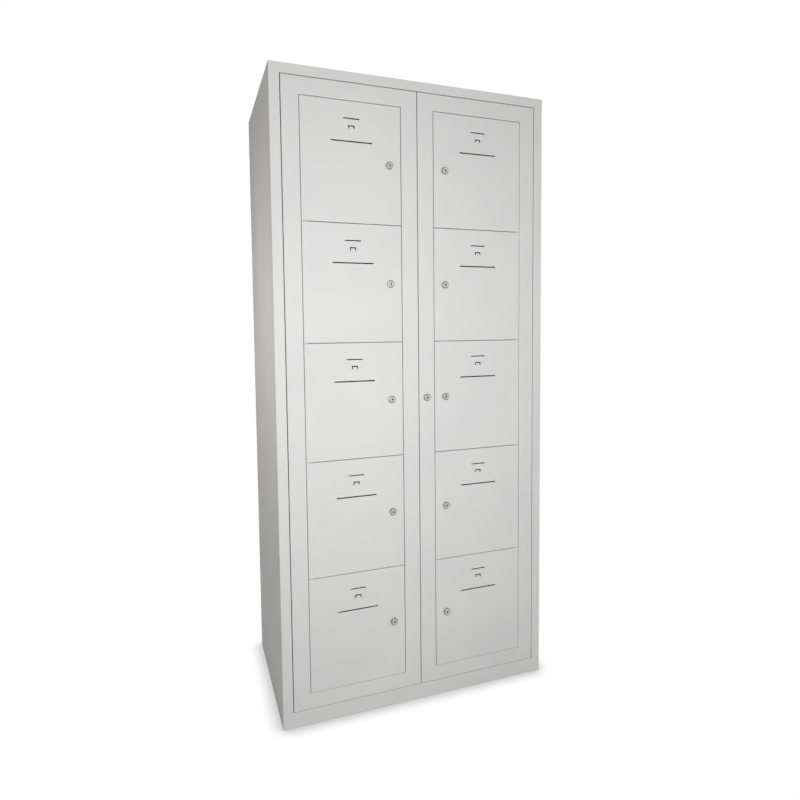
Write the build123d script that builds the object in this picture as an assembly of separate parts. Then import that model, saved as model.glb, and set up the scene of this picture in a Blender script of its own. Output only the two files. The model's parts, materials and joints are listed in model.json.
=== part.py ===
"""Distribution locker cabinet: two lockable master doors, each a frame that carries five compartment doors.

Every piece is modelled closed and unlocked, in millimetres. The origin is on the floor under the middle of
the cabinet, +Z is up, and the front faces -Y. Pieces that come in a left and a right hand are built from a
side of -1 or +1, which mirrors them about the plane between the two columns.
"""

from build123d import *
from math import hypot
import os

LEFT = -1
RIGHT = 1
SIDE_NAMES = {LEFT: "left", RIGHT: "right"}

# Cabinet shell, all of it folded steel sheet
cabinet_width = 845.0
cabinet_depth = 500.0
cabinet_height = 1850.0
sheet = 1.0
fold_radius = 1.2
rear_flange = 20.0
floor_flange = 20.0

# Border that frames the two master doors
side_border = 29.0
top_border = 27.5
bottom_border = 45.9
border_return = 24.0
head_lip = 12.0
edge_notch_radius = 3.0
edge_notch_offset = 313.0

# Visible gaps round the master doors and round the compartment doors, and clearances
master_gap = 2.0
master_foot_gap = 1.2
leaf_gap = 1.6
leaf_hinge_gap = 1.2
leaf_foot_gap = 0.8
rest_gap = 0.3
swing_clearance = 0.6
pin_clearance = 0.05
lug_clearance = 0.3
cam_clearance = 1.0

# Master doors: hollow frames of folded sheet round a tall cut-out
master_depth = 25.0
outer_stile = 48.5
inner_stile = 49.0
top_rail = 48.0
bottom_rail = 45.3
frame_lip = 10.0
stop_width = 10.0
master_pivot_inset = 9.0
master_pivot_depth = 6.0
master_pin_radius = 3.0
master_pin_reach = 10.0
washer_radius = 5.0
bar_height = 22.0

# Compartment doors: shallow trays with a lip folded in at the back
rows = 5
leaf_depth = 16.0
leaf_lip = 9.0
leaf_pivot_inset = 8.0
leaf_pivot_depth = 4.0
leaf_pin_radius = 2.0
leaf_pin_reach = 8.0
lug_overhang = 14.0
lug_depth = 12.0

# Label holder and slots in each compartment door, with drops measured from its top edge
label_width = 47.0
label_height = 27.0
label_recess = 0.5
label_slit_height = 3.0
label_drop = 45.8
tab_width = 18.0
tab_height = 9.3
tab_cut = 3.0
tab_drop = 65.7
vent_width = 120.0
vent_height = 3.4
vent_drop = 108.3

# Cam locks
lock_inset = 35.0
lock_face_radius = 10.5
lock_face_height = 7.5
lock_face_rounding = 1.5
barrel_radius = 8.5
nut_radius = 13.0
nut_height = 4.0
plug_radius = 6.0
plug_proud = 0.5
keyway_width = 1.4
keyway_height = 8.0
keyway_depth = 4.0
tail_width = 7.0
cam_width = 14.0
cam_thickness = 2.0
leaf_cam_reach = 34.0
master_cam_reach = 20.0
screw_head_radius = 5.0
screw_head_height = 2.0
screw_radius = 2.0
screw_length = 8.0

# Inside of the shell
post_half_width = 16.0
shelf_setback = 1.4
shelf_flange = 20.0

# Slide bolts that hold the left master door
bolt_radius = 4.0
bolt_length = 140.0
bolt_clearance = 0.3
bolt_depth = 13.0
bolt_knob_radius = 5.0
bolt_knob_reach = 20.0
guide_width = 20.0
guide_height = 8.0
guide_wall = 4.0
guide_inset = 20.0

# Places across the width, measured outwards from the middle
half_width = cabinet_width / 2
wall_inside = half_width - sheet
opening_half = half_width - side_border
master_outer = opening_half - master_gap
master_inner = master_gap / 2
cutout_inner = master_inner + inner_stile
cutout_outer = master_outer - outer_stile
leaf_inner = cutout_inner + leaf_gap
leaf_outer = cutout_outer - leaf_hinge_gap
leaf_middle = (leaf_inner + leaf_outer) / 2
master_pivot = master_outer - master_pivot_inset
leaf_pivot = leaf_outer - leaf_pivot_inset
leaf_lock = leaf_inner + lock_inset
master_lock = master_inner + inner_stile / 2

# Heights
opening_top = cabinet_height - top_border
master_top = opening_top - master_gap
master_bottom = bottom_border + master_foot_gap
cutout_top = master_top - top_rail
cutout_bottom = master_bottom + bottom_rail
leaf_height = (cutout_top - cutout_bottom - rows * leaf_gap - leaf_foot_gap) / rows
row_pitch = leaf_height + leaf_gap
roof_underside = cabinet_height - sheet

# Depths, from the front face backwards
front = -cabinet_depth / 2
rear = cabinet_depth / 2
skin_back = front + sheet
leaf_back = front + leaf_depth
stop_front = leaf_back + rest_gap
leaf_cam_front = stop_front + sheet + cam_clearance
leaf_pivot_y = front + leaf_pivot_depth
leaf_sweep = hypot(leaf_pivot_inset, leaf_depth - leaf_pivot_depth)
bar_front = leaf_pivot_y + leaf_sweep + swing_clearance
master_back = front + master_depth
master_pivot_y = front + master_pivot_depth
master_sweep = hypot(master_pivot_inset, master_depth - master_pivot_depth)
post_front = master_back + rest_gap
post_back = post_front + sheet
master_cam_front = post_back + cam_clearance
shelf_front = master_pivot_y + master_sweep + shelf_setback
back_panel_front = rear - 2 * sheet
bolt_y = front + bolt_depth


def leaf_top(row):
    """Height of the upper edge of a row's compartment doors, counted from the top."""
    return cutout_top - leaf_gap - (row - 1) * row_pitch


def gap_height(number):
    """Height of the middle of a gap above, between or below the compartment doors, counted from the top."""
    if number == rows:
        return cutout_bottom + leaf_foot_gap / 2
    return leaf_top(number + 1) + leaf_gap / 2


def lock_height(row):
    """Height of the lock of a row, in the middle of its door."""
    return leaf_top(row) - leaf_height / 2


def block(x_from, x_to, y_from, y_to, z_from, z_to):
    """A box between two opposite corners, whose coordinates may come in either order."""
    middle = Pos((x_from + x_to) / 2, (y_from + y_to) / 2, (z_from + z_to) / 2)
    return middle * Box(abs(x_to - x_from), abs(y_to - y_from), abs(z_to - z_from))


def rod_across(radius, x_from, x_to, y, z):
    """A cylinder along the width of the cabinet."""
    return Pos((x_from + x_to) / 2, y, z) * Rot(Y=90) * Cylinder(radius, abs(x_to - x_from))


def rod_back(radius, x, y_from, y_to, z):
    """A cylinder along the depth of the cabinet."""
    return Pos(x, (y_from + y_to) / 2, z) * Rot(X=90) * Cylinder(radius, abs(y_to - y_from))


def rod_up(radius, x, y, z_from, z_to):
    """An upright cylinder."""
    return Pos(x, y, (z_from + z_to) / 2) * Cylinder(radius, abs(z_to - z_from))


def upright_rounding(x, way, z_from, z_to, radius=fold_radius):
    """What comes off an upright edge of the front face to round it, where the sheet lies on one way of x."""
    centre = x + way * radius
    corner = block(x, centre, front, front + radius, z_from, z_to)
    return corner - rod_up(radius, centre, front + radius, z_from, z_to)


def level_rounding(x_from, x_to, z, way):
    """What comes off a level edge of the front face to round it, where the sheet lies on one way of z."""
    centre = z + way * fold_radius
    corner = block(x_from, x_to, front, front + fold_radius, z, centre)
    return corner - rod_across(fold_radius, x_from, x_to, front + fold_radius, centre)


def bored(part, holes):
    """A part with holes cut through it."""
    for hole in holes:
        part -= hole
    return part


# Shell


def side_panel(side):
    """A flat side wall, with its front edge ground round where the front upright is welded to it."""
    outside = side * half_width
    panel = block(outside, side * wall_inside, front, rear, 0, roof_underside)
    return panel - upright_rounding(outside, -side, 0, roof_underside, sheet)


def front_upright(side):
    """The border between a side wall and the doors, folded back beside the doors."""
    edge = side * opening_half
    upright = block(side * wall_inside, edge, front, skin_back, 0, roof_underside)
    upright += block(edge, edge + side * sheet, front, front + border_return, bottom_border, opening_top)
    return upright - upright_rounding(edge, side, bottom_border, opening_top)


def side_flanges():
    """The strips inside each side wall: an upright one that the back rests on, and a level one on the ground."""
    flanges = []
    for side in (LEFT, RIGHT):
        wall = side * wall_inside
        flanges.append(block(wall, side * (half_width - rear_flange), rear - sheet, rear, 0, roof_underside))
        flanges.append(block(wall, side * (half_width - floor_flange), skin_back, rear - sheet, 0, sheet))
    return flanges


def master_pin_hole(side, z):
    """The hole for a master hinge pin in a sheet at a height."""
    radius = master_pin_radius + pin_clearance
    return rod_up(radius, side * master_pivot, master_pivot_y, z - 2 * sheet, z + 2 * sheet)


def bolt_hole(z):
    """The hole for a slide bolt in a sheet at a height."""
    radius = bolt_radius + bolt_clearance
    return rod_up(radius, LEFT * master_lock, bolt_y, z - 2 * sheet, z + 2 * sheet)


def top_panel():
    """The roof with its front border, the return and stop lip behind that border, and its rear flange."""
    flange_half = half_width - rear_flange
    panel = block(-half_width, half_width, front, rear, roof_underside, cabinet_height)
    panel += block(-opening_half, opening_half, front, skin_back, opening_top, cabinet_height)
    panel += block(-opening_half, opening_half, front, post_back, opening_top, opening_top + sheet)
    panel += block(-cutout_outer, cutout_outer, post_front, post_back, opening_top - head_lip, opening_top)
    rear_flange_foot = cabinet_height - rear_flange
    panel += block(-flange_half, flange_half, rear - sheet, rear, rear_flange_foot, cabinet_height)
    panel -= level_rounding(-half_width, half_width, cabinet_height, -1)
    panel -= level_rounding(-opening_half, opening_half, opening_top, 1)
    return bored(
        panel,
        [master_pin_hole(LEFT, opening_top), master_pin_hole(RIGHT, opening_top), bolt_hole(opening_top)],
    )


def base_panel():
    """The floor of the lowest compartments, with a front apron, a rear apron and a flange on the ground."""
    flange_half = half_width - rear_flange
    deck_underside = bottom_border - sheet
    panel = block(-wall_inside, wall_inside, front + border_return, rear - sheet, deck_underside, bottom_border)
    panel += block(-opening_half, opening_half, front, rear, deck_underside, bottom_border)
    panel += block(-opening_half, opening_half, front, skin_back, 0, bottom_border)
    panel += block(-opening_half, opening_half, front, front + floor_flange, 0, sheet)
    panel += block(-flange_half, flange_half, rear - sheet, rear, 0, bottom_border)
    panel -= level_rounding(-opening_half, opening_half, bottom_border, -1)
    for x in (-edge_notch_offset, edge_notch_offset):
        panel -= rod_back(edge_notch_radius, x, front, skin_back, 0)
    return bored(
        panel,
        [master_pin_hole(LEFT, bottom_border), master_pin_hole(RIGHT, bottom_border), bolt_hole(bottom_border)],
    )


def back_panel():
    """The flat back, in front of the rear flanges."""
    return block(-wall_inside, wall_inside, back_panel_front, rear - sheet, bottom_border, roof_underside)


def centre_partition():
    """The wall between the two columns, and the strip on its front.

    Both master doors rest on the strip, and the master cam hooks behind it.
    """
    half = sheet / 2
    top = opening_top - head_lip
    wall = block(-half, half, post_back, back_panel_front, bottom_border, roof_underside)
    return [wall, block(-post_half_width, post_half_width, post_front, post_back, bottom_border, top)]


def shelf(side, number):
    """A shelf behind a gap between two compartment doors, with a flange down at its front and at its rear."""
    top = gap_height(number) + sheet / 2
    wall = side * wall_inside
    partition = side * sheet / 2
    board = block(partition, wall, shelf_front, back_panel_front, top - sheet, top)
    board += block(partition, wall, shelf_front, shelf_front + sheet, top - shelf_flange, top)
    board += block(partition, wall, back_panel_front - sheet, back_panel_front, top - shelf_flange, top)
    return board


def master_hinges():
    """The pins above and below each master door, and the washer under each door that carries it."""
    hinges = []
    for side in (LEFT, RIGHT):
        x = side * master_pivot
        for z in (master_bottom - master_foot_gap / 2, master_top + master_gap / 2):
            hinges.append(rod_up(master_pin_radius, x, master_pivot_y, z - master_pin_reach, z + master_pin_reach))
        washer = rod_up(washer_radius, x, master_pivot_y, bottom_border, master_bottom - lug_clearance)
        hinges.append(washer - master_pin_hole(side, bottom_border + sheet))
    return hinges


# Master doors


def master_door(side):
    """A hollow frame of folded sheet round the cut-out that its five compartment doors fill."""
    outer = side * master_outer
    inner = side * master_inner
    cut_outer = side * cutout_outer
    cut_inner = side * cutout_inner
    door = block(inner, outer, front, master_back, master_bottom, master_top)
    door -= block(cut_inner, cut_outer, front, master_back, cutout_bottom, cutout_top)

    def channel(inset, y_from, y_to):
        """The hollow between the outer walls and the walls of the cut-out, kept clear of both by an inset."""
        shift = side * inset
        ring = block(
            inner + shift, outer - shift, y_from, y_to, master_bottom + inset, master_top - inset
        )
        return ring - block(
            cut_inner - shift, cut_outer + shift, y_from, y_to, cutout_bottom - inset, cutout_top + inset
        )

    door -= channel(sheet, skin_back, master_back - sheet)
    door -= channel(sheet + frame_lip, master_back - sheet, master_back)
    for x, way in ((outer, -side), (inner, side)):
        door -= upright_rounding(x, way, master_bottom, master_top)
    for x, way in ((cut_outer, side), (cut_inner, -side)):
        door -= upright_rounding(x, way, cutout_bottom, cutout_top)
    for z, way in ((master_bottom, 1), (master_top, -1)):
        door -= level_rounding(inner, outer, z, way)
    for z, way in ((cutout_bottom, -1), (cutout_top, 1)):
        door -= level_rounding(cut_inner, cut_outer, z, way)
    door = bored(door, [master_pin_hole(side, master_bottom), master_pin_hole(side, master_top)])
    door = bored(door, [leaf_pin_hole(side, cutout_bottom), leaf_pin_hole(side, cutout_top)])
    if side == LEFT:
        return bored(door, [bolt_hole(master_bottom), bolt_hole(master_top)])
    return door - rod_back(barrel_radius, side * master_lock, front, skin_back, master_lock_height)


def leaf_pin_hole(side, z):
    """The hole for a compartment door's hinge pin in a sheet or lug at a height."""
    radius = leaf_pin_radius + pin_clearance
    return rod_up(radius, side * leaf_pivot, leaf_pivot_y, z - 2 * sheet, z + 2 * sheet)


def stop_bars(side):
    """The upright strip that the compartment doors close against, and a channel behind each gap between them."""
    near = side * cutout_inner
    far = side * cutout_outer
    bars = [block(near, near + side * stop_width, stop_front, stop_front + sheet, cutout_bottom, cutout_top)]
    for number in range(1, rows):
        low = gap_height(number) - bar_height / 2
        high = gap_height(number) + bar_height / 2
        bar = block(near, far, bar_front, master_back, low, high)
        bars.append(bar - block(near, far, bar_front + sheet, master_back, low + sheet, high - sheet))
    return bars


def hinge_lugs(side):
    """The plates on the outer stile that fill each gap near the hinge line and hold the pins."""
    lugs = []
    half = leaf_gap / 2 - lug_clearance
    for number in range(1, rows):
        z = gap_height(number)
        tip = side * (leaf_outer - lug_overhang)
        lug = block(side * cutout_outer, tip, front, front + lug_depth, z - half, z + half)
        lugs.append(lug - leaf_pin_hole(side, z))
    return lugs


def hinge_pins(side):
    """The pins that a master door's compartment doors turn on, one in each gap."""
    reach = leaf_gap / 2 + leaf_pin_reach
    pins = []
    for number in range(rows + 1):
        z = gap_height(number)
        pins.append(rod_up(leaf_pin_radius, side * leaf_pivot, leaf_pivot_y, z - reach, z + reach))
    return pins


# Compartment doors


def compartment_door(side, row):
    """A shallow tray with a label recess under a slit, a cut tab that holds the label, and a vent slot."""
    outer = side * leaf_outer
    inner = side * leaf_inner
    top = leaf_top(row)
    bottom = top - leaf_height
    lip = sheet + leaf_lip
    door = block(inner, outer, front, leaf_back, bottom, top)
    door -= block(
        inner + side * sheet, outer - side * sheet, skin_back, leaf_back - sheet, bottom + sheet, top - sheet
    )
    door -= block(inner + side * lip, outer - side * lip, leaf_back - sheet, leaf_back, bottom + lip, top - lip)
    for x, way in ((outer, -side), (inner, side)):
        door -= upright_rounding(x, way, bottom, top)
    for z, way in ((bottom, 1), (top, -1)):
        door -= level_rounding(inner, outer, z, way)

    def window(width, high, low, depth):
        """A rectangle cut into the skin, centred across the door, between two drops from its top edge."""
        middle = side * leaf_middle
        return block(middle - width / 2, middle + width / 2, front, front + depth, top - high, top - low)

    door -= window(label_width, label_drop, label_drop + label_height, label_recess)
    door -= window(label_width, label_drop, label_drop + label_slit_height, sheet)
    door -= window(tab_width, tab_drop, tab_drop + tab_height, sheet)
    tab = window(tab_width - 2 * tab_cut, tab_drop + tab_cut, tab_drop + tab_height, sheet)
    door += tab - window(label_width, label_drop, label_drop + label_height, label_recess)
    door -= window(vent_width, vent_drop, vent_drop + vent_height, sheet)
    door -= rod_back(barrel_radius, side * leaf_lock, front, skin_back, lock_height(row))
    return bored(door, [leaf_pin_hole(side, bottom), leaf_pin_hole(side, top)])


# Locks


def lock_housing(x, z, cam_front):
    """The fixed half of a cam lock: a barrel with a round face, and the nut that clamps it to the sheet."""
    face = rod_back(lock_face_radius, x, front - lock_face_height, front, z)
    face = fillet(face.faces().sort_by(Axis.Y)[0].edges(), lock_face_rounding)
    housing = face + rod_back(barrel_radius, x, front, cam_front - rest_gap, z)
    housing -= rod_back(plug_radius + pin_clearance, x, front - lock_face_height, cam_front, z)
    nut = Pos(x, skin_back, z) * Rot(X=-90) * extrude(RegularPolygon(nut_radius, 6), nut_height)
    nut -= rod_back(barrel_radius + pin_clearance, x, skin_back, skin_back + nut_height, z)
    return [housing, nut]


def lock_cam(x, z, cam_front, reach):
    """The turning half of a cam lock: the plug with its keyway, the cam hanging down, and the cam screw."""
    plug_front = front - lock_face_height - plug_proud
    cam_back = cam_front + cam_thickness
    half_tail = tail_width / 2
    plug = rod_back(plug_radius, x, plug_front, cam_front, z)
    plug += block(x - half_tail, x + half_tail, cam_front, cam_back, z - half_tail, z + half_tail)
    plug -= block(
        x - keyway_width / 2, x + keyway_width / 2, plug_front, plug_front + keyway_depth,
        z - keyway_height / 2, z + keyway_height / 2,
    )
    screw_end = cam_back - screw_length
    plug -= rod_back(screw_radius + pin_clearance, x, screw_end - pin_clearance, cam_back, z)
    half_hole = half_tail + pin_clearance
    cam = rod_back(cam_width / 2, x, cam_front, cam_back, z)
    cam += block(x - cam_width / 2, x + cam_width / 2, cam_front, cam_back, z - reach, z)
    cam -= block(x - half_hole, x + half_hole, cam_front, cam_back, z - half_hole, z + half_hole)
    screw = rod_back(screw_head_radius, x, cam_back, cam_back + screw_head_height, z)
    screw += rod_back(screw_radius, x, screw_end, cam_back, z)
    return [plug, cam, screw]


# Slide bolts


def slide_bolt(way):
    """A round bolt behind the left master door's inner stile, drawn back, with a knob towards the inside.

    The way is +1 for the bolt that enters the border above the door and -1 for the one below it.
    """
    x = LEFT * master_lock
    edge = master_top if way > 0 else master_bottom
    bolt = rod_up(bolt_radius, x, bolt_y, edge, edge - way * bolt_length)
    middle = edge - way * bolt_length / 2
    return bolt + rod_back(bolt_knob_radius, x, bolt_y, bolt_y + bolt_knob_reach, middle)


def bolt_guides():
    """The blocks on the back of the stile's skin that the two slide bolts run through."""
    x = LEFT * master_lock
    guides = []
    for way, edge in ((1, master_top), (-1, master_bottom)):
        for drop in (guide_inset, bolt_length - guide_inset):
            z = edge - way * drop
            guide = block(
                x - guide_width / 2, x + guide_width / 2, skin_back, bolt_y + bolt_radius + guide_wall,
                z - guide_height / 2, z + guide_height / 2,
            )
            hole_radius = bolt_radius + bolt_clearance
            guides.append(guide - rod_up(hole_radius, x, bolt_y, z - guide_height, z + guide_height))
    return guides


# The master lock is level with the locks of the middle row
master_lock_height = lock_height((rows + 1) // 2)

nodes = {
    "top_panel": [top_panel()],
    "base_panel": [base_panel()],
    "back_panel": [back_panel()],
    "centre_partition": centre_partition(),
    "front_uprights": [front_upright(LEFT), front_upright(RIGHT)],
    "side_flanges": side_flanges(),
    "master_hinges": master_hinges(),
    "master_lock": lock_housing(master_lock, master_lock_height, master_cam_front),
    "master_cam": lock_cam(master_lock, master_lock_height, master_cam_front, master_cam_reach),
    "slide_bolt_upper": [slide_bolt(1)],
    "slide_bolt_lower": [slide_bolt(-1)],
    "bolt_guides": bolt_guides(),
}

for side, hand in SIDE_NAMES.items():
    nodes[f"side_panel_{hand}"] = [side_panel(side)]
    nodes[f"master_door_{hand}"] = [master_door(side)]
    nodes[f"stop_bars_{hand}"] = stop_bars(side)
    nodes[f"hinge_lugs_{hand}"] = hinge_lugs(side)
    nodes[f"hinge_pins_{hand}"] = hinge_pins(side)
    for number in range(1, rows):
        nodes[f"shelf_{hand}_{number}"] = [shelf(side, number)]
    for row in range(1, rows + 1):
        x = side * leaf_lock
        z = lock_height(row)
        nodes[f"door_{hand}_{row}"] = [compartment_door(side, row)]
        nodes[f"lock_{hand}_{row}"] = lock_housing(x, z, leaf_cam_front)
        nodes[f"cam_{hand}_{row}"] = lock_cam(x, z, leaf_cam_front, leaf_cam_reach)

os.makedirs("parts", exist_ok=True)
for name, pieces in nodes.items():
    solids = [solid for piece in pieces for solid in piece.solids()]
    export_step(solids[0] if len(solids) == 1 else Compound(solids), f"parts/{name}.step")
print(len(nodes), "nodes written")
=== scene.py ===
"""Looks of the distribution locker cabinet: powder-coated steel, detailed cam locks, a white studio."""

import json
from math import cos, radians, sin, tan

import bmesh
import bpy
from mathutils import Matrix, Vector


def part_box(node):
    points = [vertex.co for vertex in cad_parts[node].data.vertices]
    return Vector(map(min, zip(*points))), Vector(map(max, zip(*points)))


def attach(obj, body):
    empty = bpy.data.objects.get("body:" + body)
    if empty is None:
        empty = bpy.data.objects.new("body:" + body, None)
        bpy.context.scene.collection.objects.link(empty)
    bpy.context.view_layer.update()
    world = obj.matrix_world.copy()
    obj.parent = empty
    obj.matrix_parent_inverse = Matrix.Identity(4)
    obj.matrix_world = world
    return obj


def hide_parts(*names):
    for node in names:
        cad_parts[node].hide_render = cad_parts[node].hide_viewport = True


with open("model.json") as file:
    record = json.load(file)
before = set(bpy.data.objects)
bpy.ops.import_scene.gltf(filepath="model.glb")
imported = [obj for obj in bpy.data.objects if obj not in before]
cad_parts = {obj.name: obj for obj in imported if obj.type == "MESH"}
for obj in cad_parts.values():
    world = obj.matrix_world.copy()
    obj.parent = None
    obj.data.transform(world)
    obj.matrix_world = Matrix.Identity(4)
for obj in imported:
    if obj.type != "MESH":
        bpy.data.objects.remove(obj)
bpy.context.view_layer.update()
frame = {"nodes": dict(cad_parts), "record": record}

MM = 0.001
nodes = frame["nodes"]
bodies = frame["record"]["behaviour"]["bodies"]


def body_of(node):
    """The body that carries a node of the frame."""
    return next(body for body, members in bodies.items() if node in members)


# Camera, solved from the straight edges in the photograph

IMAGE_SIZE = 800
FOCAL_PIXELS = 587.25
AXIS_COLUMN = 400.5
AXIS_ROW = 366.9
SENSOR = 36.0
CAMERA_PLACE = Vector((-0.6500, -1.8694, 1.1384))
CAMERA_YAW = radians(20.08)
CAMERA_PITCH = radians(-3.72)
CAMERA_ROLL = radians(-0.567)


def make_camera():
    """The camera at the photograph's place, with its axis a little above the middle of the picture."""
    data = bpy.data.cameras.new("camera")
    data.sensor_width = SENSOR
    data.lens = SENSOR * FOCAL_PIXELS / IMAGE_SIZE
    data.shift_x = (IMAGE_SIZE / 2 - AXIS_COLUMN) / IMAGE_SIZE
    data.shift_y = (AXIS_ROW - IMAGE_SIZE / 2) / IMAGE_SIZE
    data.clip_start = 0.05
    camera = bpy.data.objects.new("camera", data)
    bpy.context.scene.collection.objects.link(camera)
    forward = Vector(
        (sin(CAMERA_YAW) * cos(CAMERA_PITCH), cos(CAMERA_YAW) * cos(CAMERA_PITCH), sin(CAMERA_PITCH))
    )
    level = Vector((cos(CAMERA_YAW), -sin(CAMERA_YAW), 0))
    upright = level.cross(forward)
    right = level * cos(CAMERA_ROLL) + upright * sin(CAMERA_ROLL)
    up = upright * cos(CAMERA_ROLL) - level * sin(CAMERA_ROLL)
    turn = Matrix((right, up, -forward)).transposed()
    camera.matrix_world = Matrix.Translation(CAMERA_PLACE) @ turn.to_4x4()
    bpy.context.scene.camera = camera


# Materials


class Nodes:
    """A short way to write the nodes of a material or of the world."""

    def __init__(self, tree, output):
        self.tree = tree
        self.output = self.add(output)

    def add(self, kind, inputs=None, **settings):
        """A node with its settings and with its inputs set to values or linked to sockets."""
        node = self.tree.nodes.new(kind)
        for name, value in settings.items():
            setattr(node, name, value)
        for name, value in (inputs or {}).items():
            self.put(node.inputs[name], value)
        return node

    def put(self, socket, value):
        """Sets a socket to a value, or links it to the socket that gives the value."""
        if isinstance(value, bpy.types.NodeSocket):
            self.tree.links.new(value, socket)
        else:
            socket.default_value = value

    def noise(self, place, scale, detail, roughness):
        """A noise texture's value."""
        inputs = {"Vector": place, "Scale": scale, "Detail": detail, "Roughness": roughness}
        return self.add("ShaderNodeTexNoise", inputs).outputs["Fac"]

    def spread(self, value, low, high, out_low=0.0, out_high=1.0):
        """A value mapped from one range to another, held at the ends."""
        inputs = {"Value": value, "From Min": low, "From Max": high, "To Min": out_low, "To Max": out_high}
        return self.add("ShaderNodeMapRange", inputs).outputs["Result"]

    def blend(self, share, first, second):
        """Two colours mixed by a share."""
        node = self.add("ShaderNodeMix", data_type="RGBA")
        for index, value in ((0, share), (6, first), (7, second)):
            self.put(node.inputs[index], value)
        return node.outputs[2]

    def math(self, operation, first, second):
        """One step of arithmetic."""
        node = self.add("ShaderNodeMath", {0: first, 1: second}, operation=operation)
        return node.outputs[0]

    def shown(self):
        """1 for the rays that show a surface to the eye: straight, mirrored or through glass."""
        path = self.add("ShaderNodeLightPath").outputs
        direct = self.math("MAXIMUM", path["Is Camera Ray"], path["Is Glossy Ray"])
        return self.math("MAXIMUM", direct, path["Is Transmission Ray"])

    def surface(self, shader):
        """Makes a shader the surface."""
        self.tree.links.new(shader.outputs[0], self.output.inputs["Surface"])


def new_material(name):
    """An empty material and the writer of its nodes."""
    material = bpy.data.materials.new(name)
    material.use_nodes = True
    material.node_tree.nodes.clear()
    return material, Nodes(material.node_tree, "ShaderNodeOutputMaterial")


def shade(colour, red, green, blue):
    """A colour with each of its channels scaled, as the nodes take it."""
    return (*(min(channel * share, 1) for channel, share in zip(colour, (red, green, blue))), 1)


# Reaches in metres: how far edges are rubbed on paint and on metal, and how narrow a gap gets painted shade

PAINT_EDGE = 0.0014
METAL_EDGE = 0.0006
GAP_SHADE_REACH = 0.004
GAP_SHADE_SHARE = 0.3


def edge_share(make, radius):
    """How near a point is to a sharp edge: 0 on a flat face and 1 on the edge itself."""
    bent = make.add("ShaderNodeBevel", {"Radius": radius}, samples=4).outputs["Normal"]
    flat = make.add("ShaderNodeNewGeometry").outputs["Normal"]
    likeness = make.add("ShaderNodeVectorMath", {0: bent, 1: flat}, operation="DOT_PRODUCT")
    return make.spread(make.math("SUBTRACT", 1.0, likeness.outputs["Value"]), 0.002, 0.12)


def powder_coat(name, colour, seed):
    """Baked powder paint on thin sheet: orange peel, faint clouds, rubbed edges, painted shade in narrow
    gaps.
    """
    material, make = new_material(name)
    place = make.add("ShaderNodeTexCoord").outputs["Object"]
    moved = make.add("ShaderNodeVectorMath", {0: place, 1: (seed, seed, seed)}, operation="ADD")
    place = moved.outputs["Vector"]
    cloud = make.spread(make.noise(place, 3.2, 3.0, 0.55), 0.3, 0.7)
    speck = make.spread(make.noise(place, 420.0, 2.0, 0.6), 0.35, 0.65)
    tone = make.blend(cloud, shade(colour, 0.955, 0.957, 0.96), shade(colour, 1.02, 1.02, 1.018))
    tone = make.blend(make.math("MULTIPLY", speck, 0.25), tone, shade(colour, 0.93, 0.93, 0.93))
    # Painted shade: the paint is darkened where other surfaces stand within a few millimetres, in gaps, slots
    # and recesses.
    openness = make.add("ShaderNodeAmbientOcclusion", {"Distance": GAP_SHADE_REACH}, samples=6).outputs["AO"]
    gap_shade = make.spread(openness, 0.95, 0.5, 0.0, GAP_SHADE_SHARE)
    tone = make.blend(gap_shade, tone, shade(colour, 0.5, 0.5, 0.49))
    scuff = make.spread(make.noise(place, 46.0, 4.0, 0.7), 0.5, 0.72)
    worn = make.math("MULTIPLY", edge_share(make, PAINT_EDGE), scuff)
    tone = make.blend(make.math("MULTIPLY", worn, 0.35), tone, shade(colour, 0.8, 0.8, 0.79))
    roughness = make.spread(make.noise(place, 8.0, 3.0, 0.5), 0.3, 0.7, 0.54, 0.64)
    peel = make.add(
        "ShaderNodeBump",
        {"Strength": 0.22, "Distance": 0.00012, "Height": make.noise(place, 620.0, 2.0, 0.45)},
    )
    wave = make.add(
        "ShaderNodeBump",
        {"Strength": 0.35, "Distance": 0.0016, "Height": make.noise(place, 4.5, 1.0, 0.4),
         "Normal": peel.outputs["Normal"]},
    )
    shader = make.add(
        "ShaderNodeBsdfPrincipled",
        {"Base Color": tone, "Roughness": roughness, "Normal": wave.outputs["Normal"],
         "IOR": 1.5, "Specular IOR Level": 0.3},
    )
    make.surface(shader)
    return material


def plated_metal(name, colour, rough_low, rough_high, grain):
    """Plated steel or die-cast zinc with a fine directional grain, dulled in patches and lighter along rubbed
    edges.
    """
    material, make = new_material(name)
    place = make.add("ShaderNodeTexCoord").outputs["Object"]
    stretched = make.add("ShaderNodeMapping", {"Vector": place, "Scale": grain}).outputs["Vector"]
    streak = make.noise(stretched, 900.0, 3.0, 0.6)
    patch = make.spread(make.noise(place, 120.0, 3.0, 0.6), 0.35, 0.65)
    tone = make.blend(patch, shade(colour, 0.86, 0.86, 0.85), (*colour, 1))
    edge = edge_share(make, METAL_EDGE)
    tone = make.blend(make.math("MULTIPLY", edge, 0.5), tone, shade(colour, 1.15, 1.15, 1.14))
    roughness = make.spread(streak, 0.3, 0.7, rough_low, rough_high)
    bump = make.add("ShaderNodeBump", {"Strength": 0.25, "Distance": 0.00004, "Height": streak})
    shader = make.add(
        "ShaderNodeBsdfPrincipled",
        {"Base Color": tone, "Metallic": 1.0, "Roughness": roughness, "Normal": bump.outputs["Normal"]},
    )
    make.surface(shader)
    return material


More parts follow.
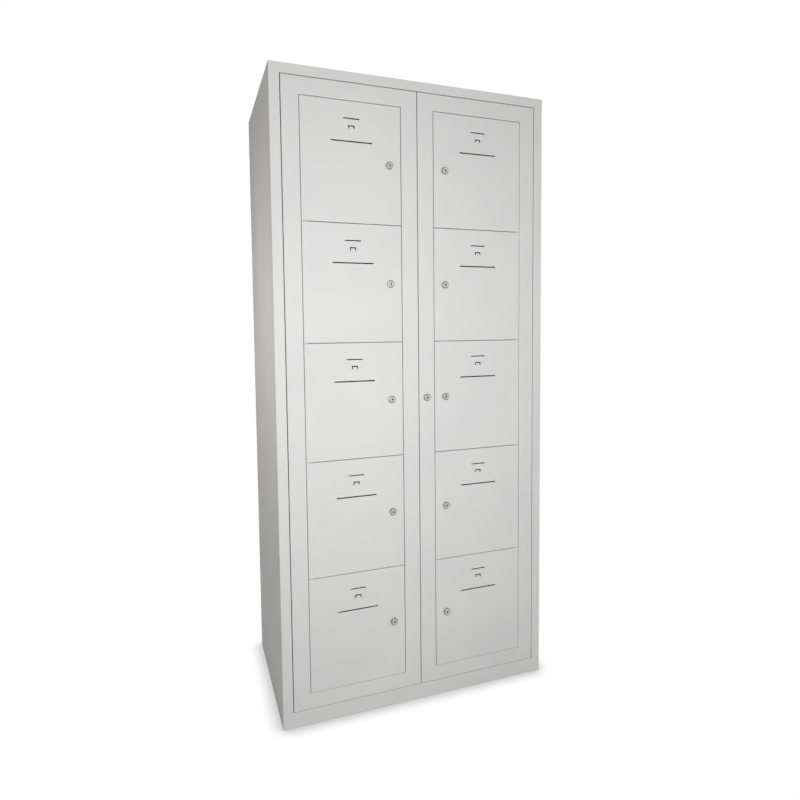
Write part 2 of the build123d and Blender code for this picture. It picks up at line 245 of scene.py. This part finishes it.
SHELL_GREY = (0.660, 0.660, 0.655)
DOOR_GREY = (0.665, 0.665, 0.661)
materials = {
    "shell_paint": powder_coat("shell_powder_coat", SHELL_GREY, 0.0),
    "door_paint": powder_coat("door_powder_coat", DOOR_GREY, 3.7),
    "lock_nickel": plated_metal("lock_satin_nickel", (0.56, 0.555, 0.545), 0.22, 0.36, (1, 1, 1)),
    # Painted shade and painted dark reflection: the lock's rim and the groove round its plug get a darker
    # metal than the face.
    "lock_rim": plated_metal("lock_rim_painted_shade", (0.34, 0.34, 0.337), 0.24, 0.4, (1, 1, 1)),
    "lock_dark": plated_metal("lock_keyway_shadow", (0.07, 0.07, 0.07), 0.45, 0.65, (1, 1, 1)),
    "zinc_steel": plated_metal("zinc_plated_steel", (0.56, 0.57, 0.58), 0.28, 0.46, (1, 1, 0.15)),
}
slots = {part["node"]: part["material_slot"] for part in frame["record"]["subparts"]}


def finish_cad_nodes():
    """Gives every node of the frame the material of its slot."""
    for name, node in nodes.items():
        node.data.materials.clear()
        node.data.materials.append(materials[slots[name]])


# Turned parts: rings of points round an axis, with straight stretches and arcs between them

TURN_STEPS = 72
SHARP_ANGLE = radians(30)
SAME_POINT = 1e-7


class Shape:
    """A mesh in the making, with its finishes and a name for each of them."""

    def __init__(self, *finishes):
        self.mesh = bmesh.new()
        self.finishes = finishes

    def finish(self, name):
        """The index of a finish in the piece's material slots."""
        return self.finishes.index(name)

    def turn(self, place, rings):
        """Adds a surface through rings round the Y axis of a place.

        A ring is a radius, or a function from an angle to a radius, with a depth along the axis and the
        finish of the band that leads to the next ring, in millimetres. A radius of zero closes the surface.
        """
        rows = []
        for radius, depth, _ in rings:
            row = []
            for step in range(TURN_STEPS):
                angle = radians(360 * step / TURN_STEPS)
                reach = radius(angle) if callable(radius) else radius
                point = Vector((reach * cos(angle), depth, reach * sin(angle))) * MM
                row.append(self.mesh.verts.new(place @ point))
            rows.append(row)
        for front_row, back_row, ring in zip(rows, rows[1:], rings):
            for step in range(TURN_STEPS):
                after = (step + 1) % TURN_STEPS
                corners = (front_row[step], front_row[after], back_row[after], back_row[step])
                self.mesh.faces.new(corners).material_index = self.finish(ring[2])

    def plate(self, place, outline, depth, thickness, rounding, finish):
        """Adds a flat plate with softened edges from its outline, in millimetres across and up."""
        before = set(self.mesh.faces)
        corners = [self.mesh.verts.new(place @ (Vector((x, depth, z)) * MM)) for x, z in outline]
        face = self.mesh.faces.new(corners)
        back = bmesh.ops.extrude_face_region(self.mesh, geom=[face])["geom"]
        push = place.to_3x3() @ Vector((0, thickness * MM, 0))
        bmesh.ops.translate(self.mesh, verts=[v for v in back if isinstance(v, bmesh.types.BMVert)], vec=push)
        added = [made for made in self.mesh.faces if made not in before]
        edges = dict.fromkeys(edge for made in added for edge in made.edges)
        rims = [edge for edge in edges if edge.calc_face_angle(0) > radians(45)]
        bmesh.ops.bevel(self.mesh, geom=rims, offset=rounding * MM, segments=2, affect="EDGES", profile=0.5)
        for made in self.mesh.faces:
            if made not in before:
                made.material_index = self.finish(finish)

    def piece(self, name, node):
        """Makes the finished object, which stands for a node and moves with its body."""
        bmesh.ops.remove_doubles(self.mesh, verts=self.mesh.verts, dist=SAME_POINT)
        bmesh.ops.dissolve_degenerate(self.mesh, dist=SAME_POINT, edges=self.mesh.edges)
        bmesh.ops.recalc_face_normals(self.mesh, faces=self.mesh.faces)
        self.mesh.verts.index_update()
        count = len(self.mesh.verts)

        def order(face):
            """A number from a face's first corners, so that the faces come in one order in every run."""
            first, second, third = sorted(corner.index for corner in face.verts)[:3]
            return (first * count + second) * count + third

        self.mesh.faces.sort(key=order)
        for face in self.mesh.faces:
            face.smooth = True
        data = bpy.data.meshes.new(name)
        self.mesh.to_mesh(data)
        self.mesh.free()
        data.set_sharp_from_angle(angle=SHARP_ANGLE)
        for finish in self.finishes:
            data.materials.append(materials[finish])
        made = bpy.data.objects.new(name, data)
        bpy.context.scene.collection.objects.link(made)
        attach(made, body_of(node))
        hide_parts(node)


def arc(radius_centre, depth_centre, radius, start, end, steps, finish):
    """Rings along an arc in the plane of radius and depth, between two angles in degrees."""
    rings = []
    for step in range(steps + 1):
        angle = radians(start + (end - start) * step / steps)
        rings.append((radius_centre + radius * cos(angle), depth_centre + radius * sin(angle), finish))
    return rings


def slot_reach(half_width, half_height):
    """How far a rectangle reaches, as a function of the angle."""
    def reach(angle):
        """The nearer of the two sides that the angle points at."""
        return min(half_width / max(abs(cos(angle)), 1e-6), half_height / max(abs(sin(angle)), 1e-6))
    return reach


def cross_reach(half_width, half_height):
    """How far a cross of two equal bars reaches, as a function of the angle."""
    upright = slot_reach(half_width, half_height)
    level = slot_reach(half_height, half_width)

    def reach(angle):
        """The longer reach of the two bars."""
        return max(upright(angle), level(angle))
    return reach


def hexagon_reach(corner_radius):
    """How far a hexagon with a corner on the X axis reaches, as a function of the angle."""
    sixth = radians(60)

    def reach(angle):
        """The distance to the side that the angle points at."""
        return corner_radius * cos(sixth / 2) / cos(angle % sixth - sixth / 2)
    return reach


# Cam locks, in millimetres

FACE_RADIUS = 10.5
BORE_RADIUS = 6.05
PLUG_RADIUS = 6.0
PLUG_PROUD = 0.5
BARREL_RADIUS = 8.5
THREAD_PITCH = 1.2
THREAD_DEPTH = 0.5
NUT_CORNER = 13.0
NUT_HEIGHT = 4.0
SHEET = 1.0
KEYWAY_HALF_WIDTH = 0.7
KEYWAY_HALF_HEIGHT = KEYWAY_HALF_WIDTH * tan(radians(80))
KEYWAY_DEPTH = 4.0
KEYWAY_DISH = KEYWAY_HALF_WIDTH / cos(radians(75))
CAM_HALF_WIDTH = 7.0
CAM_THICKNESS = 2.0
CAM_CORNER = 3.0
SCREW_RADIUS = 5.0
SCREW_HEIGHT = 2.0
SCREW_CROSS = 2.6


def lock_case(shape, place, height, barrel_end):
    """The fixed half of a lock: a bored and grooved face, a threaded barrel and a nut."""
    top = -height
    rings = [
        (BORE_RADIUS, barrel_end, "lock_nickel"),
        (BORE_RADIUS, top + 0.4, "lock_nickel"),
        (BORE_RADIUS + 0.4, top, "lock_nickel"),
        # The groove and the rounded rim take the rim finish, whose darker colour is painted shade and painted
        # dark reflection.
        (7.5, top, "lock_rim"),
        (7.8, top + 0.6, "lock_rim"),
        (8.4, top + 0.6, "lock_rim"),
        (8.7, top + 0.1, "lock_rim"),
    ]
    rings += arc(FACE_RADIUS - 1.6, top + 1.6, 1.6, -90, 0, 6, "lock_rim")
    rings += [
        (FACE_RADIUS, -0.5, "lock_rim"),
        (FACE_RADIUS - 0.3, 0, "lock_rim"),
        (BARREL_RADIUS, 0, "lock_nickel"),
        (BARREL_RADIUS, SHEET + NUT_HEIGHT, "lock_nickel"),
    ]

    def thread_reach(depth):
        """A ring of the helical thread: its crest climbs one pitch in each turn."""
        def reach(angle):
            phase = (depth / THREAD_PITCH + angle / radians(360)) % 1
            return BARREL_RADIUS - THREAD_DEPTH * abs(2 * phase - 1)
        return reach

    depth = SHEET + NUT_HEIGHT + THREAD_PITCH / 4
    while depth < barrel_end - 1.0:
        rings.append((thread_reach(depth), depth, "lock_nickel"))
        depth += THREAD_PITCH / 4
    root = BARREL_RADIUS - THREAD_DEPTH
    rings += [
        (root, barrel_end - 0.6, "lock_nickel"),
        (root - 0.6, barrel_end, "lock_nickel"),
        (BORE_RADIUS, barrel_end, "lock_nickel"),
    ]
    shape.turn(place, rings)

    hexagon = hexagon_reach(NUT_CORNER)
    flat = NUT_CORNER * cos(radians(30))

    def chamfer(angle):
        """The hexagon with its corners turned off."""
        return min(hexagon(angle), flat + 0.2)

    shape.turn(place, [
        (BARREL_RADIUS + 0.05, SHEET, "zinc_steel"),
        (chamfer, SHEET, "zinc_steel"),
        (hexagon, SHEET + 0.9, "zinc_steel"),
        (hexagon, SHEET + NUT_HEIGHT - 0.9, "zinc_steel"),
        (chamfer, SHEET + NUT_HEIGHT, "zinc_steel"),
        (BARREL_RADIUS + 0.6, SHEET + NUT_HEIGHT, "zinc_steel"),
        (BARREL_RADIUS + 0.05, SHEET + NUT_HEIGHT - 0.5, "zinc_steel"),
        (BARREL_RADIUS + 0.05, SHEET, "zinc_steel"),
    ])


def lock_cam(shape, place, height, cam_front, reach):
    """The turning half of a lock: a plug with a dished keyway, a flat cam and a cross-head screw."""
    top = -height - PLUG_PROUD
    keyway = slot_reach(KEYWAY_HALF_WIDTH, KEYWAY_HALF_HEIGHT)

    def dish(angle):
        """The round dish at the mouth of the keyway, with the keyway's ends beyond it."""
        return max(KEYWAY_DISH, keyway(angle))

    def lip(angle):
        """The bevel round the dish."""
        return dish(angle) + 0.25

    shape.turn(place, [
        (0, cam_front, "lock_nickel"),
        (PLUG_RADIUS, cam_front, "lock_nickel"),
        (PLUG_RADIUS, top + 0.35, "lock_nickel"),
        (PLUG_RADIUS - 0.35, top, "lock_nickel"),
        (lip, top, "lock_nickel"),
        (dish, top + 0.25, "lock_dark"),
        (dish, top + 0.8, "lock_dark"),
        (keyway, top + 0.8, "lock_dark"),
        (keyway, top + KEYWAY_DEPTH, "lock_dark"),
        (0, top + KEYWAY_DEPTH, "lock_dark"),
    ])
    outline = []
    for step in range(25):
        angle = radians(180 * step / 24)
        outline.append((CAM_HALF_WIDTH * cos(angle), CAM_HALF_WIDTH * sin(angle)))
    for side, start in ((-1, 180), (1, 270)):
        for step in range(7):
            angle = radians(start + 90 * step / 6)
            across = side * (CAM_HALF_WIDTH - CAM_CORNER) + CAM_CORNER * cos(angle)
            outline.append((across, CAM_CORNER - reach + CAM_CORNER * sin(angle)))
    shape.plate(place, outline, cam_front, CAM_THICKNESS, 0.3, "zinc_steel")
    seat = cam_front + CAM_THICKNESS
    cross = cross_reach(SCREW_CROSS * tan(radians(15)), SCREW_CROSS)
    head = [(0, seat, "zinc_steel"), (SCREW_RADIUS, seat, "zinc_steel")]
    head += arc(SCREW_RADIUS - 1.4, seat + SCREW_HEIGHT - 1.4, 1.4, 0, 90, 5, "zinc_steel")
    head += [
        (cross, seat + SCREW_HEIGHT, "zinc_steel"),
        (cross, seat + SCREW_HEIGHT - 1.2, "lock_dark"),
        (0, seat + SCREW_HEIGHT - 1.2, "lock_dark"),
    ]
    shape.turn(place, head)


def make_lock(door, case, cam):
    """Builds both halves of one lock, at the place and size of its nodes in the frame."""
    case_low, case_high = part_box(case)
    cam_low, cam_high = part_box(cam)
    door_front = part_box(door)[0].y
    middle = (case_low + case_high) / 2
    place = Matrix.Translation(Vector((middle.x, door_front, middle.z)))
    height = (door_front - case_low.y) / MM
    shape = Shape("lock_nickel", "lock_rim", "zinc_steel")
    lock_case(shape, place, height, (case_high.y - door_front) / MM)
    shape.piece(f"{case}_case", case)
    cam_front = (cam_high.y - door_front) / MM - SCREW_HEIGHT - CAM_THICKNESS
    shape = Shape("lock_nickel", "zinc_steel", "lock_dark")
    lock_cam(shape, place, height, cam_front, (middle.z - cam_low.z) / MM)
    shape.piece(f"{cam}_plug_and_cam", cam)


def make_locks():
    """The lock of every compartment door, and the lock of the right master door."""
    make_lock("master_door_right", "master_lock", "master_cam")
    for door in nodes:
        if door.startswith("door_"):
            place = door.removeprefix("door_")
            make_lock(door, f"lock_{place}", f"cam_{place}")


# Slide bolts, in millimetres

BOLT_RADIUS = 4.0
BOLT_KNOB_RADIUS = 5.0
BOLT_CHAMFER = 1.2
DETENT_INSET = 9.0
DETENT_DEPTH = 0.8
KNOB_NECK_RADIUS = 3.2
KNOB_GROOVES = 3
KNOB_GROOVE_DEPTH = 0.5


def make_slide_bolt(node):
    """A round bolt with chamfered ends and two detent grooves, and a grooved finger knob screwed into it."""
    low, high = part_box(node)
    middle = (low + high) / 2
    axis_depth = low.y + BOLT_RADIUS * MM
    half = (high.z - low.z) / MM / 2
    centre = Matrix.Translation(Vector((middle.x, axis_depth, middle.z)))
    upright = centre @ Matrix.Rotation(radians(90), 4, "X")
    shape = Shape("zinc_steel")
    rings = [(0, -half, "zinc_steel"), (BOLT_RADIUS - BOLT_CHAMFER, -half, "zinc_steel")]
    rings.append((BOLT_RADIUS, BOLT_CHAMFER - half, "zinc_steel"))
    for groove in (DETENT_INSET - half, half - DETENT_INSET):
        for depth, step in ((0, -1.0), (DETENT_DEPTH, -0.4), (DETENT_DEPTH, 0.4), (0, 1.0)):
            rings.append((BOLT_RADIUS - depth, groove + step, "zinc_steel"))
    rings.append((BOLT_RADIUS, half - BOLT_CHAMFER, "zinc_steel"))
    rings += [(BOLT_RADIUS - BOLT_CHAMFER, half, "zinc_steel"), (0, half, "zinc_steel")]
    shape.turn(upright, rings)
    reach = (high.y - axis_depth) / MM
    neck = BOLT_RADIUS + 1.5
    rings = [(0, 0, "zinc_steel"), (KNOB_NECK_RADIUS, 0, "zinc_steel")]
    rings.append((KNOB_NECK_RADIUS, neck, "zinc_steel"))
    rings += [(BOLT_KNOB_RADIUS - 0.6, neck, "zinc_steel"), (BOLT_KNOB_RADIUS, neck + 0.6, "zinc_steel")]
    spacing = (reach - neck - 3) / KNOB_GROOVES
    for number in range(KNOB_GROOVES):
        start = neck + 1.6 + number * spacing
        for depth, step in ((0, 0), (KNOB_GROOVE_DEPTH, 0.3), (KNOB_GROOVE_DEPTH, 1.0), (0, 1.3)):
            rings.append((BOLT_KNOB_RADIUS - depth, start + step, "zinc_steel"))
    rings += arc(BOLT_KNOB_RADIUS - 1.2, reach - 1.2, 1.2, 0, 90, 5, "zinc_steel")
    rings.append((0, reach, "zinc_steel"))
    shape.turn(centre, rings)
    shape.piece(f"{node}_rod_and_knob", node)


# Studio


def stage_material(name, bounce_colour, seen):
    """A surface that lights the object by a plain diffuse bounce, and that the eye sees as given."""
    material, make = new_material(name)
    shown = make.shown()
    diffuse = make.add("ShaderNodeBsdfDiffuse", {"Color": bounce_colour})
    glow = make.add("ShaderNodeEmission", {"Color": seen(make), "Strength": 1.0})
    make.surface(make.add("ShaderNodeMixShader", {0: shown, 1: diffuse.outputs[0], 2: glow.outputs[0]}))
    return material


FLOOR_HALF = 12.0
FLOOR_BOUNCE = (0.68, 0.68, 0.68, 1)
SHADOW_REACH = 0.053
SHADOW_TONE = 0.6


def floor_tone(make):
    """White, with a soft shadow close round the foot of the cabinet."""
    nearness = make.add("ShaderNodeAmbientOcclusion", {"Distance": SHADOW_REACH}, samples=16).outputs["AO"]
    share = make.spread(nearness, 0.5, 0.96)
    return make.blend(share, (SHADOW_TONE, SHADOW_TONE, SHADOW_TONE, 1), (1, 1, 1, 1))


def make_floor():
    """A plain white floor."""
    mesh = bpy.data.meshes.new("floor")
    half = FLOOR_HALF
    corners = [(-half, -half, 0), (half, -half, 0), (half, half, 0), (-half, half, 0)]
    mesh.from_pydata(corners, [], [(0, 1, 2, 3)])
    mesh.materials.append(stage_material("floor_white", FLOOR_BOUNCE, floor_tone))
    floor = bpy.data.objects.new("floor", mesh)
    bpy.context.scene.collection.objects.link(floor)


WORLD_LIGHT = 0.21


def make_world():
    """A white surround for the eye and for reflections, and a soft even light on the object."""
    world = bpy.data.worlds.new("studio")
    bpy.context.scene.world = world
    world.use_nodes = True
    world.node_tree.nodes.clear()
    make = Nodes(world.node_tree, "ShaderNodeOutputWorld")
    shown = make.shown()
    light = make.add("ShaderNodeBackground", {"Color": (1, 1, 1, 1), "Strength": WORLD_LIGHT})
    seen = make.add("ShaderNodeBackground", {"Color": (1, 1, 1, 1), "Strength": 1.0})
    make.surface(make.add("ShaderNodeMixShader", {0: shown, 1: light.outputs[0], 2: seen.outputs[0]}))


WHITE = (1.0, 1.0, 1.0)
WARM = (1.0, 0.965, 0.93)
LAMPS = {
    "key": {"place": (-0.35, -1.9, 1.2), "aim": (-0.2, 0, 1.15), "size": 0.7, "power": 15.7, "colour": WHITE},
    "far": {"place": (-0.45, -2.3, 1.2), "aim": (-0.2, 0, 1.1), "size": 0.8, "power": 11.9, "colour": WHITE},
    "left": {"place": (-1.05, -0.15, 1.2), "aim": (-0.42, 0, 1.15), "size": 0.5, "power": 2.1,
             "colour": WARM},
    "right": {"place": (2.2, -2.2, 1.5), "aim": (0, 0, 1), "size": 1.2, "power": 7.5, "colour": WHITE},
    "behind": {"place": (1.7, 2.6, 1.7), "aim": (0, 0, 1), "size": 1.6, "power": 60.0, "colour": WHITE},
    "above": {"place": (0, 0.35, 3.3), "aim": (0, 0, 1.85), "size": 0.6, "power": 11.0, "colour": WHITE},
}


def make_lamps():
    """Large soft lamps: two in front and to the left, and weaker ones round and above the cabinet."""
    for name, lamp in LAMPS.items():
        data = bpy.data.lights.new(name, "AREA")
        data.shape = "SQUARE"
        data.size = lamp["size"]
        data.energy = lamp["power"]
        data.color = lamp["colour"]
        light = bpy.data.objects.new(name, data)
        bpy.context.scene.collection.objects.link(light)
        place = Vector(lamp["place"])
        towards = Vector(lamp["aim"]) - place
        light.matrix_world = Matrix.Translation(place) @ towards.to_track_quat("-Z", "Y").to_matrix().to_4x4()
        light.visible_camera = False


bpy.context.scene.view_settings.view_transform = "Standard"
make_camera()
finish_cad_nodes()
make_locks()
for bolt in ("slide_bolt_upper", "slide_bolt_lower"):
    make_slide_bolt(bolt)
make_floor()
make_world()
make_lamps()
